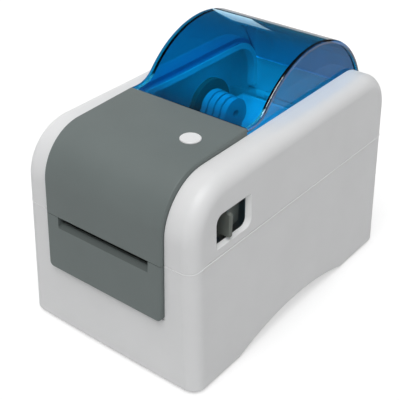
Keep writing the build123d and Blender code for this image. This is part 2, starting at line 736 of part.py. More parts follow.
def make_head_bracket():
    low, top = head_levels()[2:]
    half = head_half() + BRACKET_MARGIN
    plate = block((-half, half), (HEAD_FRONT_Y, HEAD_PIVOT_Y), (low, top))
    rear, high = HEAD_PIVOT_Y + 2 * HEAD_PIVOT_R, HEAD_PIVOT_Z + 2 * HEAD_PIVOT_R
    ear = side_face([(rear - BRACKET_EAR_DEPTH, low), (rear, low), (rear, high),
                     (rear - 4 * HEAD_PIVOT_R, high)])
    plate += both_sides(across(ear, half - BRACKET_SHEET, half))
    return plate - rod_x(HEAD_PIVOT_Y, HEAD_PIVOT_Z, HEAD_PIVOT_R, -FAR, FAR)


def make_head_pivot():
    return rod_x(HEAD_PIVOT_Y, HEAD_PIVOT_Z, HEAD_PIVOT_R, -FRAME_HALF, FRAME_HALF)


def make_head_springs():
    span = (head_levels()[3], FRAME_DECK_Z - FRAME_WALL)
    coil = rod_z(HEAD_SPRING_X, HEAD_SPRING_Y, HEAD_SPRING_R, *span)
    return both_sides(coil - rod_z(HEAD_SPRING_X, HEAD_SPRING_Y, HEAD_SPRING_R - HEAD_SPRING_WIRE, *span))


def make_tear_bar():
    """Toothed strip behind the lower edge of the upper panel."""
    half = head_half() + BRACKET_MARGIN
    low = PANEL_PARTING_Z + PANEL_PARTING_GAP / 2 + TEAR_BAR_LIFT
    root = low + TEAR_TOOTH
    pitch = PRINT_WIDTH / TEAR_BAR_TEETH
    back = panel_back_y(low + TEAR_BAR_HEIGHT)
    strip = block((-half, half), (back, back + TEAR_BAR_THICK), (root, low + TEAR_BAR_HEIGHT))
    for tooth in range(TEAR_BAR_TEETH):
        x = (tooth - (TEAR_BAR_TEETH - 1) / 2) * pitch
        corner = Polyline((x - pitch / 2, root), (x, low), (x + pitch / 2, root), close=True)
        strip += Pos(0, back, 0) * extrude(Plane.XZ * make_face(corner), amount=-TEAR_BAR_THICK)
    return strip


def panel_back_y(z):
    """Back of the grey panels' front at one height."""
    lean = radians(PANEL_LEAN)
    return -PANEL_PROUD + PANEL_THICK / cos(lean) + (z - PANEL_BOTTOM_Z) * tan(lean)


# Feed button and its board
def panel_top_z(y):
    return PANEL_END_Z - (PANEL_END_Y - y) * tan(radians(PANEL_SLOPE))


def button_levels():
    """Heights of the panel's face over the button, the button's flange top and its stem's end."""
    face = panel_top_z(BUTTON_Y)
    flange = face - PANEL_THICK - BUTTON_FLANGE_GAP
    return face, flange, flange - BUTTON_STEM


def make_feed_button():
    face, flange, stem = button_levels()
    cap = rod_z(BUTTON_X, BUTTON_Y, BUTTON_R, flange, face + BUTTON_PROUD)
    cap = chamfer(cap.edges().sort_by(Axis.Z)[-1], BUTTON_EDGE)
    cap += rod_z(BUTTON_X, BUTTON_Y, BUTTON_R + BUTTON_FLANGE, flange - BUTTON_FLANGE, flange)
    return cap + rod_z(BUTTON_X, BUTTON_Y, BUTTON_STEM_R, stem, flange)


def make_button_board():
    """Small board on the frame's deck, with the switch that the button's stem presses."""
    stem = button_levels()[2]
    reach = BUTTON_BOARD_HALF
    board = block((BUTTON_X - reach, BUTTON_X + reach), (BUTTON_Y - reach, BUTTON_Y + reach),
                  (FRAME_DECK_Z, FRAME_DECK_Z + BOARD_THICK))
    half = BUTTON_SWITCH_HALF
    return board + block((BUTTON_X - half, BUTTON_X + half), (BUTTON_Y - half, BUTTON_Y + half),
                         (FRAME_DECK_Z, stem - BUTTON_TRAVEL - BUTTON_SWITCH_GAP))


# Base pieces
def tub_posts():
    """Where the chassis stands on the floor: (x, y) on the right half."""
    return [(BOSS_X, CHASSIS_FRONT_Y + CHASSIS_POST_INSET), (BOSS_X, CHASSIS_POST_REAR_Y)]


def make_lower_case():
    high = PARTING_Z - PARTING_GAP / 2
    outside = tub_form(0, CASE_BOTTOM_Z, high) - arch(0)
    bottom = [edge for edge in outside.edges()
              if edge.center().Z < CASE_BOTTOM_Z + ARCH_RISE and abs(edge.tangent_at(0.5).X) < 0.9]
    outside = fillet([edge for edge in bottom if abs(edge.center().X) > SEAT_HALF], BASE_EDGE_R)
    cavity = tub_form(WALL, CASE_BOTTOM_Z + WALL, HIGH) - arch(WALL)
    tub = outside - cavity
    # Lip that stands up inside the cover's wall
    inner = tub_form(WALL + LIP_CLEARANCE + LIP_WALL, 0, HIGH)
    root = tub_form(WALL - LIP_ROOT, high - 2 * LIP_RISE, high) - inner
    lip = tub_form(WALL + LIP_CLEARANCE, high - LIP_RISE, high + LIP_RISE) - inner
    lip = root + lip
    lip -= block((-POCKET_HALF - WALL, POCKET_HALF + WALL), (-WALL, CORNER_R), (0, HIGH))
    lip -= block((-FAR, FAR), (CASE_LENGTH - 2 * KNUCKLE_R - LIP_RISE, FAR), (0, HIGH))
    tub += lip
    # The wall and the lip's root follow the parting line down across the front
    above = block((-FAR, FAR), (-FAR, DIP_END_Y), (0, HIGH)) - under_parting(-PARTING_GAP / 2)
    tub -= above - tub_form(WALL + LIP_CLEARANCE, 0, HIGH)
    # Opening behind the grey panel and the seat that the panel lies in
    low = PANEL_BOTTOM_Z
    tub -= block((-SEAT_HALF, SEAT_HALF), (-2 * WALL, 2 * WALL), (low + SEAT_OVERLAP, HIGH))
    seat = block((-POCKET_HALF, POCKET_HALF), (-2 * WALL, 2 * WALL), (low - SEAT_GAP, HIGH))
    tub -= seat - across(panel_region(PANEL_THICK), -PANEL_WIDTH, PANEL_WIDTH)
    # Posts under the chassis
    for x, y in tub_posts():
        post = rod_z(x, y, BOSS_R, CASE_BOTTOM_Z, CHASSIS_FOOT_Z) & outside
        tub += both_sides(post)
        tub -= both_sides(rod_z(x, y, SCREW_R, CASE_BOTTOM_Z - 1, CHASSIS_FOOT_Z))
        tub -= both_sides(rod_z(x, y, SCREW_BORE_R, CASE_BOTTOM_Z - 1, CASE_BOTTOM_Z + SCREW_BORE_DEPTH))
    for x, y in board_posts():
        tub += rod_z(x, y, BOARD_POST_R, CASE_BOTTOM_Z, BOARD_Z) & outside
    for x, y in feet_places():
        tub -= rod_z(x, y, FOOT_R, 0, FOOT_HEIGHT)
    for cut in rear_cutouts():
        tub -= cut
    tub = tub - knuckle_reliefs("cover") + knuckles("base")
    return tub - hinge_bore(HINGE_PIN_R)


def board_posts():
    """Where the main board stands on the floor: (x, y) of each post."""
    half = BOARD_WIDTH / 2 - BOARD_POST_INSET
    ys = (BOARD_FRONT_Y + BOARD_POST_INSET, BOARD_REAR_Y - BOARD_POST_INSET)
    return [(x, y) for x in (-half, half) for y in ys]


def feet_places():
    return [(x, y) for x in (-FOOT_X, FOOT_X) for y in (FOOT_FRONT_Y, FOOT_REAR_Y)]


def make_rubber_feet():
    feet = [rod_z(x, y, FOOT_R, 0, FOOT_HEIGHT) for x, y in feet_places()]
    return Part() + [chamfer(foot.edges().sort_by(Axis.Z)[0], FOOT_EDGE) for foot in feet]


def make_hinge_pins():
    spans = knuckle_spans()
    return both_sides(rod_x(CASE_LENGTH, PARTING_Z, HINGE_PIN_R, spans[0][0], spans[-1][1]))


# Gear train
def idler_place():
    distance = (PLATEN_TEETH + IDLER_SMALL_TEETH) * GEAR_MODULE / 2 + CENTRE_EASE
    angle = radians(IDLER_ANGLE)
    return PLATEN_Y + distance * cos(angle), PLATEN_Z + distance * sin(angle)


def motor_place():
    distance = (IDLER_LARGE_TEETH + PINION_TEETH) * GEAR_MODULE / 2 + CENTRE_EASE
    angle = radians(PINION_ANGLE)
    y, z = idler_place()
    return y + distance * cos(angle), z + distance * sin(angle)


def gear_face(teeth, module, phase, bore):
    """Involute spur gear seen from the side, with the middle of one tooth at angle phase."""
    pitch_r = teeth * module / 2
    pressure = radians(GEAR_PRESSURE)
    base_r = pitch_r * cos(pressure)
    tip_r, root_r = pitch_r + GEAR_ADDENDUM * module, pitch_r - module

    def half_angle(radius):
        spread = acos(min(1, base_r / radius))
        thick = pi / (2 * teeth) - GEAR_BACKLASH / (2 * pitch_r)
        return thick + tan(pressure) - pressure - tan(spread) + spread

    radii = [root_r, pitch_r, tip_r]
    points = []
    for tooth in range(teeth):
        middle = radians(phase) + 2 * pi * tooth / teeth
        flank = [(radius, half_angle(max(radius, base_r))) for radius in radii]
        points += [(radius * cos(middle - half), radius * sin(middle - half)) for radius, half in flank]
        points += [(radius * cos(middle + half), radius * sin(middle + half))
                   for radius, half in flank[::-1]]
    return make_face(Polyline(*points, close=True)) - Circle(bore)


def spur_gear(y, z, teeth, phase, bore, low, high):
    return across(Pos(y, z) * gear_face(teeth, GEAR_MODULE, phase, bore), low, high)


def gear_layers():
    """The two gear planes outside the left cheek, as (low, high) in x."""
    near = -GEAR_X - GEAR_FACE
    far = near - GEAR_LAYER_GAP
    return (near, -GEAR_X), (far - GEAR_FACE, far)


def make_platen_gear():
    low, high = gear_layers()[0]
    return spur_gear(PLATEN_Y, PLATEN_Z, PLATEN_TEETH, IDLER_ANGLE, PLATEN_SPIGOT_R, low, high)


def make_idler_gear():
    y, z = idler_place()
    near, far = gear_layers()
    step = 180 / IDLER_SMALL_TEETH
    bore = IDLER_PIN_R + SHAFT_CLEARANCE
    small = spur_gear(y, z, IDLER_SMALL_TEETH, IDLER_ANGLE + 180 + step, bore, far[1], near[1])
    return small + spur_gear(y, z, IDLER_LARGE_TEETH, PINION_ANGLE, bore, *far)


def make_motor_pinion():
    y, z = motor_place()
    near, far = gear_layers()
    phase = PINION_ANGLE + 180 + 180 / PINION_TEETH
    return spur_gear(y, z, PINION_TEETH, phase, MOTOR_SHAFT_R, far[0], near[1])


def make_idler_pin():
    y, z = idler_place()
    return rod_x(y, z, IDLER_PIN_R, gear_layers()[1][0] - 1, -(CHASSIS_HALF - CHASSIS_WALL))


def make_motor():
    y, z = motor_place()
    inside = -(CHASSIS_HALF - CHASSIS_WALL)
    can = rod_x(y, z, MOTOR_R, inside, inside + MOTOR_LENGTH)
    reach = MOTOR_R + MOTOR_EAR_REACH
    ears = block((inside, inside + MOTOR_EAR_THICK), (y - MOTOR_EAR_HALF, y + MOTOR_EAR_HALF),
                 (z - reach, z))
    boss = rod_x(y, z, MOTOR_BOSS_R, -CHASSIS_HALF, inside)
    return can + ears + boss


def make_motor_shaft():
    y, z = motor_place()
    return rod_x(y, z, MOTOR_SHAFT_R, gear_layers()[1][0], -CHASSIS_HALF)


# Platen
def make_platen_shaft():
    low = gear_layers()[0][0]
    shaft = rod_x(PLATEN_Y, PLATEN_Z, PLATEN_SHAFT_R, -CHASSIS_HALF - SHAFT_STEP, CHASSIS_HALF + SHAFT_END)
    return shaft + rod_x(PLATEN_Y, PLATEN_Z, PLATEN_SPIGOT_R, low - SPIGOT_END, -CHASSIS_HALF)


def make_platen_roller():
    half = PRINT_WIDTH / 2 + PLATEN_MARGIN
    sleeve = rod_x(PLATEN_Y, PLATEN_Z, PLATEN_R, -half, half)
    return sleeve - rod_x(PLATEN_Y, PLATEN_Z, PLATEN_SHAFT_R, -half, half)


def make_platen_bushes():
    inner = CHASSIS_HALF - CHASSIS_WALL
    bush = rod_x(PLATEN_Y, PLATEN_Z, BUSH_R, inner, CHASSIS_HALF)
    bush += rod_x(PLATEN_Y, PLATEN_Z, BUSH_R + BUSH_FLANGE, inner - BUSH_FLANGE, inner)
    return both_sides(bush - rod_x(PLATEN_Y, PLATEN_Z, PLATEN_SHAFT_R + SHAFT_CLEARANCE, 0, FAR))


# Chassis
def below(z):
    return side_face([(-FAR, -FAR), (FAR, -FAR), (FAR, z), (-FAR, z)])


def make_chassis():
    trough_outer = disc(ROLL_Y, ROLL_Z, TROUGH_R + TROUGH_WALL) & below(CHASSIS_TOP_Z)
    trough = trough_outer - disc(ROLL_Y, ROLL_Z, TROUGH_R)
    lip_y = ROLL_Y - sqrt(TROUGH_R ** 2 - (CHASSIS_TOP_Z - ROLL_Z) ** 2)
    low = CHASSIS_TOP_Z - TROUGH_WALL
    deck = side_face([(DECK_FRONT_Y, low), (lip_y, low), (lip_y, CHASSIS_TOP_Z),
                      (DECK_FRONT_Y, CHASSIS_TOP_Z)])
    chassis = across(trough + deck, -CHASSIS_HALF, CHASSIS_HALF)
    foot_end = CHASSIS_POST_REAR_Y + 2 * BOSS_R
    cheek = side_face([(CHASSIS_FRONT_Y, CHASSIS_FOOT_Z), (foot_end, CHASSIS_FOOT_Z),
                       (ROLL_Y, CHASSIS_TOP_Z - 20),
                       (ROLL_Y, CHASSIS_TOP_Z), (CHASSIS_FRONT_Y, CHASSIS_TOP_Z)])
    cheek = cheek + trough_outer
    chassis += both_sides(across(cheek, CHASSIS_HALF - CHASSIS_WALL, CHASSIS_HALF))
    for x, y in tub_posts():
        tab = block((x - BOSS_R, CHASSIS_HALF), (y - BOSS_R, y + BOSS_R),
                    (CHASSIS_FOOT_Z, CHASSIS_FOOT_Z + CHASSIS_WALL))
        chassis += both_sides(tab - rod_z(x, y, SCREW_R, 0, HIGH))
    # Seats for the platen, the motor, the idler pin and the catch pins
    chassis -= rod_x(PLATEN_Y, PLATEN_Z, BUSH_R, -FAR, FAR)
    chassis -= block((-FAR, FAR), (PLATEN_Y - BUSH_SLOT_HALF, PLATEN_Y + BUSH_SLOT_HALF),
                     (PLATEN_Z + BUSH_SLOT_LIFT, HIGH))
    y, z = idler_place()
    chassis -= rod_x(y, z, IDLER_PIN_R, -FAR, 0)
    y, z = motor_place()
    chassis -= rod_x(y, z, MOTOR_BOSS_R, -FAR, 0)
    chassis -= rod_x(CATCH_Y, CATCH_Z, CATCH_R, -FAR, FAR)
    # Slots for the guides' necks, and the stud of the guide pinion
    chassis -= guide_slot() + half_turn(guide_slot())
    return chassis + rod_z(0, ROLL_Y, STUD_R, RACK_LOW_Z, trough_z(ROLL_Y) - TROUGH_WALL / 2)


def trough_z(y):
    """Floor of the trough at one place along the printer."""
    return ROLL_Z - sqrt(TROUGH_R ** 2 - (y - ROLL_Y) ** 2)


def half_turn(solid):
    """Copy turned half a turn about the guide pinion."""
    return Pos(0, ROLL_Y, 0) * Rot(0, 0, 180) * Pos(0, -ROLL_Y, 0) * solid


# Media guides
def rack_line():
    return RACK_PINION_TEETH * RACK_MODULE / 2 + CENTRE_EASE


def neck_span():
    """The neck's (low, high) in y, on the front rack."""
    line = ROLL_Y - rack_line()
    return line - RACK_MODULE - RACK_BACK, line - RACK_MODULE - RACK_CLEARANCE


def guide_slot():
    low, high = neck_span()
    outer = -GUIDE_OPEN / 2 - GUIDE_WALL - RACK_CLEARANCE
    inner = -GUIDE_OPEN / 2 + GUIDE_TRAVEL + RACK_CLEARANCE
    return block((outer, inner), (low - RACK_CLEARANCE, high + RACK_CLEARANCE), (RACK_LOW_Z, ROLL_Z))


def front_rack():
    """Toothed bar from the left guide to a little past the pinion, with a gap on the pinion's tooth."""
    pitch = pi * RACK_MODULE
    line = ROLL_Y - rack_line()
    tip = line + GEAR_ADDENDUM * RACK_MODULE
    root = line - RACK_MODULE
    lean = tan(radians(GEAR_PRESSURE))
    quarter = pitch / 4 - GEAR_BACKLASH / 2
    start = -GUIDE_OPEN / 2 - GUIDE_WALL
    count = int(GUIDE_TRAVEL / pitch) + 3
    end = 3 * pitch
    points = [(start, root - RACK_BACK), (end, root - RACK_BACK), (end, root)]
    for tooth in range(2, -count, -1):
        middle = (tooth - 0.5) * pitch
        wide, thin = quarter + RACK_MODULE * lean, quarter - GEAR_ADDENDUM * RACK_MODULE * lean
        points += [(middle + wide, root), (middle + thin, tip), (middle - thin, tip), (middle - wide, root)]
    points += [(start, root)]
    bar = extrude(make_face(Polyline(*points, close=True)), amount=RACK_HEIGHT)
    return Pos(0, 0, RACK_LOW_Z) * bar


def make_media_guide():
    """Left guide: a tapered upright with a round head, a neck and a rack."""
    inner = -GUIDE_OPEN / 2
    half = GUIDE_FOOT / 2
    foot_z = trough_z(ROLL_Y + half) + GUIDE_LIFT
    reach = GUIDE_DISC_R * 0.8
    upright = side_face([(ROLL_Y - half, foot_z), (ROLL_Y + half, foot_z),
                         (ROLL_Y + reach, ROLL_Z - reach / 2),
                         (ROLL_Y - reach, ROLL_Z - reach / 2)])
    guide = across(upright + disc(ROLL_Y, ROLL_Z, GUIDE_DISC_R), inner - GUIDE_WALL, inner)
    neck = block((inner - GUIDE_WALL, inner), neck_span(), (RACK_LOW_Z, foot_z + GUIDE_WALL))
    return guide + neck + front_rack()


def make_long_hub():
    """Stepped hub that a label core slides on to, with a hole in its end."""
    profile = []
    step_length = HUB_LENGTH / HUB_STEPS
    for step in range(HUB_STEPS):
        radius = HUB_R - step * HUB_STEP
        start = step * step_length
        groove, edge = radius - HUB_GROOVE, start + HUB_GROOVE_WIDTH
        profile += [(start, groove), (edge, groove), (edge, radius), (start + step_length, radius)]
    profile += [(HUB_LENGTH, HUB_HOLE_R), (0, HUB_HOLE_R)]
    ring = revolve(make_face(Polyline(*profile, close=True)), Axis.X)
    return Pos(-GUIDE_OPEN / 2, ROLL_Y, ROLL_Z) * ring


def make_short_hub():
    inner = GUIDE_OPEN / 2
    hub = rod_x(ROLL_Y, ROLL_Z, HUB_R - HUB_STEP, inner - HUB_SHORT, inner)
    hub = chamfer(hub.edges().sort_by(Axis.X)[0], HUB_LEAD)
    return hub - rod_x(ROLL_Y, ROLL_Z, HUB_HOLE_R, inner - HUB_SHORT, inner)


def make_guide_pinion():
    face = gear_face(RACK_PINION_TEETH, RACK_MODULE, 90, STUD_R + SHAFT_CLEARANCE)
    return Pos(0, ROLL_Y, RACK_LOW_Z) * extrude(face, amount=RACK_HEIGHT)


# Electronics and rear sockets
def rear_y(z):
    """Outside of the rear wall at one height."""
    return CASE_LENGTH - (z - PARTING_Z) * tan(radians(REAR_DRAFT))


def rear_cutouts():
    deep = (CASE_LENGTH - 3 * WALL, CASE_LENGTH + 2 * WALL)
    grow = SOCKET_CLEARANCE
    return [
        rod_y(INLET_X, SOCKET_Z, INLET_BARREL_R + grow, *deep),
        centred_y(USB_X, USB_HALF + grow, USB_HALF_HEIGHT + grow, *deep),
        serial_shell(grow, deep),
        centred_y(SWITCH_X, SWITCH_WIDTH / 2, SWITCH_HEIGHT / 2, *deep),
    ]


def centred_y(x, half, tall, low, high):
    """Box about the sockets' level, run from low to high y."""
    return block((x - half, x + half), (low, high), (SOCKET_Z - tall, SOCKET_Z + tall))


def serial_shell(grow, span):
    """D-shaped shell of the serial socket with its two lock nuts, run from low to high y."""
    wide, thin, tall = SERIAL_HALF + grow, SERIAL_HALF_LOW + grow, SERIAL_HALF_HEIGHT + grow
    shape = Polyline((-wide, tall), (wide, tall), (thin, -tall), (-thin, -tall), close=True)
    low, high = span
    shell = Pos(SERIAL_X, low, SOCKET_Z) * extrude(Plane.XZ * make_face(shape), amount=low - high)
    for side in (-SERIAL_NUT_X, SERIAL_NUT_X):
        shell += rod_y(SERIAL_X + side, SOCKET_Z, SERIAL_NUT_R + grow, low, high)
    return shell


def board_top():
    return BOARD_Z + BOARD_THICK


def make_main_board():
    half = BOARD_WIDTH / 2
    return block((-half, half), (BOARD_FRONT_Y, BOARD_REAR_Y), (BOARD_Z, board_top()))


def make_board_parts():
    """Packages and capacitors that stand on the main board."""
    top = board_top()
    parts = []
    for x, ahead, width, depth, height in PACKAGES:
        front = BOARD_FRONT_Y + ahead
        parts.append(block((x - width / 2, x + width / 2), (front, front + depth), (top, top + height)))
    for x, behind in CAPACITORS:
        parts.append(rod_z(x, BOARD_REAR_Y - behind, CAPACITOR_R, top, top + CAPACITOR_HEIGHT))
    return Part() + parts


def make_power_inlet():
    face = rear_y(SOCKET_Z) - SOCKET_INSET
    half = INLET_BODY_HALF
    body = block((INLET_X - half, INLET_X + half), (face - INLET_BODY_DEPTH, face - WALL),
                 (board_top(), SOCKET_Z + half))
    inlet = body + rod_y(INLET_X, SOCKET_Z, INLET_BARREL_R, face - WALL, face)
    inlet -= rod_y(INLET_X, SOCKET_Z, INLET_BORE_R, face - INLET_BORE_DEPTH, face)
    return inlet + rod_y(INLET_X, SOCKET_Z, INLET_PIN_R, face - INLET_BORE_DEPTH, face - INLET_PIN_R)


def make_usb_socket():
    face = rear_y(SOCKET_Z) - SOCKET_INSET
    inside, deep = face - WALL, face - USB_MOUTH_DEPTH
    body = block((USB_X - USB_HALF, USB_X + USB_HALF), (face - USB_DEPTH, inside),
                 (board_top(), SOCKET_Z + USB_HALF_HEIGHT))
    body += centred_y(USB_X, USB_HALF, USB_HALF_HEIGHT, inside, face)
    body -= centred_y(USB_X, USB_HALF - USB_WALL, USB_HALF_HEIGHT - USB_WALL, deep, face)
    return body + centred_y(USB_X, USB_TONGUE_HALF, USB_TONGUE_HALF_HEIGHT, deep, face - USB_WALL)


def make_serial_socket():
    face = rear_y(SOCKET_Z)
    inside = face - WALL - LIP_CLEARANCE
    half = SERIAL_BODY_HALF
    body = block((SERIAL_X - half, SERIAL_X + half), (inside - SERIAL_BODY_DEPTH, inside),
                 (board_top(), SOCKET_Z + SERIAL_BODY_RISE))
    return body + serial_shell(0, (inside, face + SERIAL_PROUD))


def make_power_switch():
    face = rear_y(SOCKET_Z)
    half, tall = SWITCH_WIDTH / 2, SWITCH_HEIGHT / 2
    seat = rear_y(SOCKET_Z - tall - SWITCH_RIM)
    rim = centred_y(SWITCH_X, half + SWITCH_RIM, tall + SWITCH_RIM, seat, seat + SWITCH_RIM)
    body = centred_y(SWITCH_X, half - SOCKET_CLEARANCE, tall - SOCKET_CLEARANCE, face - SWITCH_DEPTH, seat)
    well = centred_y(SWITCH_X, half - SWITCH_WALL, tall - SWITCH_WALL, face - SWITCH_WELL_DEPTH,
                     face + 2 * SWITCH_RIM)
    reach = tall - SWITCH_WALL / 2
    pivot = rod_z(SWITCH_X, rocker_y(), ROCKER_PIVOT_R, SOCKET_Z - reach, SOCKET_Z + reach)
    return rim + body - well + pivot


def rocker_y():
    return rear_y(SOCKET_Z) - ROCKER_INSET


def make_power_rocker():
    """Two-way rocker, at rest with its off end pressed in."""
    tall = SWITCH_HEIGHT / 2 - SWITCH_WALL - ROCKER_MARGIN
    reach = SWITCH_WIDTH / 2 - SWITCH_WALL - ROCKER_MARGIN
    foot = reach - 2 * ROCKER_MARGIN
    shape = Polyline((-reach, 0), (-foot, -ROCKER_BACK), (foot, -ROCKER_BACK), (reach, 0),
                     (reach, ROCKER_FRONT),
                     (0, ROCKER_CREST), (-reach, ROCKER_FRONT), close=True)
    rocker = extrude(make_face(shape), amount=tall, both=True)
    rocker -= Cylinder(ROCKER_PIVOT_R + PIN_CLEARANCE, HIGH)
    return Pos(SWITCH_X, rocker_y(), SOCKET_Z) * Rot(0, 0, ROCKER_TILT) * rocker


def make_label_sensor():
    """Gap and mark sensor let into the paper deck."""
    top = CHASSIS_TOP_Z - TROUGH_WALL
    half, rise = SENSOR_HALF, SENSOR_HEIGHT
    sensor = block((-half, half), (SENSOR_Y - half, SENSOR_Y + half), (top - rise, top))
    return sensor + block((-half / 2, half / 2), (SENSOR_Y - half / 2, SENSOR_Y + half / 2),
                          (top - 2 * rise, top - rise))


def screw(x, y, seat_z, length):
    """Pan-head screw driven upwards, its head under seat_z."""
    low = seat_z - SCREW_HEAD
    solid = rod_z(x, y, SCREW_HEAD_R, low, seat_z) + rod_z(x, y, SCREW_R, seat_z, seat_z + length)
    half = SCREW_SLOT / 2
    return solid - block((x - SCREW_HEAD_R, x + SCREW_HEAD_R), (y - half, y + half),
                         (low, low + SCREW_SLOT_DEPTH))


def make_case_screws():
    seat_z = CASE_BOTTOM_Z + SCREW_BORE_DEPTH
    length = CHASSIS_FOOT_Z + CHASSIS_WALL - seat_z
    return both_sides(Part() + [screw(x, y, seat_z, length) for x, y in tub_posts()])


def make_frame_screws():
    seat_z = FRAME_EAR_Z - FRAME_EAR_THICK
    return both_sides(Part() + [screw(x, y, seat_z, PILOT_DEPTH) for x, y in frame_ears()])


PIECES = {
    "lower_case": make_lower_case,
    "lower_front_panel": make_lower_front_panel,
    "chassis": make_chassis,
    "catch_pins": make_catch_pins,
    "platen_bushes": make_platen_bushes,
    "idler_pin": make_idler_pin,
    "stepping_motor": make_motor,
    "main_board": make_main_board,
    "board_parts": make_board_parts,
    "power_inlet": make_power_inlet,
    "usb_socket": make_usb_socket,
    "serial_socket": make_serial_socket,
    "power_switch": make_power_switch,
    "power_rocker": make_power_rocker,
    "label_sensor": make_label_sensor,
    "rubber_feet": make_rubber_feet,
    "hinge_pins": make_hinge_pins,
    "case_screws": make_case_screws,
    "platen_roller": make_platen_roller,
    "platen_shaft": make_platen_shaft,
    "platen_gear": make_platen_gear,
    "idler_gear": make_idler_gear,
    "motor_shaft": make_motor_shaft,
    "motor_pinion": make_motor_pinion,
    "media_guide_left": make_media_guide,
    "roll_hub_left": make_long_hub,
    "media_guide_right": lambda: half_turn(make_media_guide()),
    "roll_hub_right": make_short_hub,
    "guide_pinion": make_guide_pinion,
    "upper_case": make_upper_case,
    "upper_front_panel": make_upper_front_panel,
    "roll_window": make_roll_window,
    "cover_frame": make_cover_frame,
    "frame_screws": make_frame_screws,
    "latch_springs": make_latch_springs,
    "tear_bar": make_tear_bar,
    "button_board": make_button_board,
    "head_pivot": make_head_pivot,
    "head_bracket": make_head_bracket,
    "heat_sink": make_heat_sink,
    "printhead": make_printhead,
    "head_springs": make_head_springs,
    "latch_shaft": make_latch_shaft,
    "latch_lever_right": make_latch_lever,
    "latch_lever_left": lambda: mirror(make_latch_lever(), about=Plane.YZ),
    "feed_button": make_feed_button,
}

# The shared origin is the middle of the whole printer's footprint
os.makedirs("parts", exist_ok=True)
solids = {name: make() for name, make in PIECES.items()}
boxes = [solid.bounding_box() for solid in solids.values()]
front = min(box.min.Y for box in boxes)
rear = max(box.max.Y for box in boxes)
to_origin = Pos(0, -(front + rear) / 2, 0)
for name, solid in solids.items():
    export_step(to_origin * solid, f"parts/{name}.step")
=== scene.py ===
from math import cos, pi, radians, sin

import bpy
from mathutils import Matrix, Vector


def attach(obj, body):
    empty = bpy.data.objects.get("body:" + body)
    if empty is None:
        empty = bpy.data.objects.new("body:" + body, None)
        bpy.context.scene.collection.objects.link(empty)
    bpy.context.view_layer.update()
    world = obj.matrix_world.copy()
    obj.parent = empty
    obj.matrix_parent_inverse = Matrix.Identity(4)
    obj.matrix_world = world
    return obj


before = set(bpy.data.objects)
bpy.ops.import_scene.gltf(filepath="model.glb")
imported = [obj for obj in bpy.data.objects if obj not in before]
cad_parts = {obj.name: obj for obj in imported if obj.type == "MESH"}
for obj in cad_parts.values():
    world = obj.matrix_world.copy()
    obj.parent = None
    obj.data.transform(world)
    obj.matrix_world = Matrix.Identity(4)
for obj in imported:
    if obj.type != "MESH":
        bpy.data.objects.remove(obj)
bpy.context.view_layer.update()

# Colours are linear, angles are in degrees and lengths in millimetres, with y from the model's front and
# z from the table. Only the camera's place, the floor, the strip's size and the surfaces are in metres
MILLIMETRE = 0.001
ROW_SHIFT = 94.61133

# Camera, solved from the straight edges of the photograph, with its place in the row frame
CAMERA_PLACE = (0.2639, -0.35948, 0.3314)
CAMERA_AZIMUTH = 37.49
CAMERA_DROP = 32.12
CAMERA_ROLL = 0.93
CAMERA_LENS = 79.8
CAMERA_SENSOR = 36.0
CAMERA_NEAR = 0.01

# Light: a room that reflections see dimly, a broad soft key from above and a weaker fill from the left
ROOM_LEVEL = 0.41
ROOM_GLOSS_LEVEL = 0.05
KEY_DIRECTION = (0.10, -0.21, 0.53)
KEY_SPREAD = 42.0
KEY_LEVEL = 0.58
FILL_DIRECTION = (-1.0, 0.35, 0.14)
FILL_SPREAD = 60.0
FILL_LEVEL = 0.23

# Narrow softbox behind the printer, which the top of the hood reflects
STRIP_PLACE = (-537.0, 925.0, 340.0)
STRIP_AIM = (0.0, 128.4, 145.0)
STRIP_SIZE = (0.07, 0.30)
STRIP_RADIANCE = 1.7
STRIP_COLOUR = (0.66, 0.90, 1.0)

# Floor, lifted to white for the camera alone
FLOOR_SIZE = 12.0
FLOOR_COLOUR = (0.56, 0.56, 0.56)
FLOOR_LIFT = 0.50

# Parting line, slot lip, lever windows and hood as the model has them
PARTING_Z = 77.9
DIP = 2.1
DIP_START_Y = 1.5
DIP_END_Y = 9.0
CASE_HALF = 57.5
CASE_CORNER_R = 8.0
SLOT_HALF = 31.2
SLOT_LIP_LOW = 69.0
SLOT_LIP_HIGH = 71.6
SLOT_LIP_RISE = 0.3
BEVEL_BOX = ((53.0, 18.0, 81.0), (58.0, 50.0, 101.0))
BEVEL_LEAN = (0.2, 0.97)
HOOD_FLANK = 38.5

# Seam bead: its section as (out, up) from the parting line, and its steps around the two corners
BEAD_START_X = 39.8
REAR_CORNER_Y = 181.0
BEAD_SECTION = ((-0.9, 0.27), (-0.02, 0.27), (0.34, -0.12), (0.34, -0.22), (-0.02, -0.6), (-0.9, -0.25))
BEAD_FRONT_TURNS = range(-90, 1, 10)
BEAD_REAR_TURNS = range(0, 46, 9)

# Window blind: its two faces, and its outline as (y, z) with a notch for the lever's hub
BLIND_X = (47.3, 48.3)
BLIND_OUTLINE = ((20.0, 87.0), (34.5, 87.0), (34.5, 75.0), (58.0, 75.0), (58.0, 103.0), (20.0, 103.0))

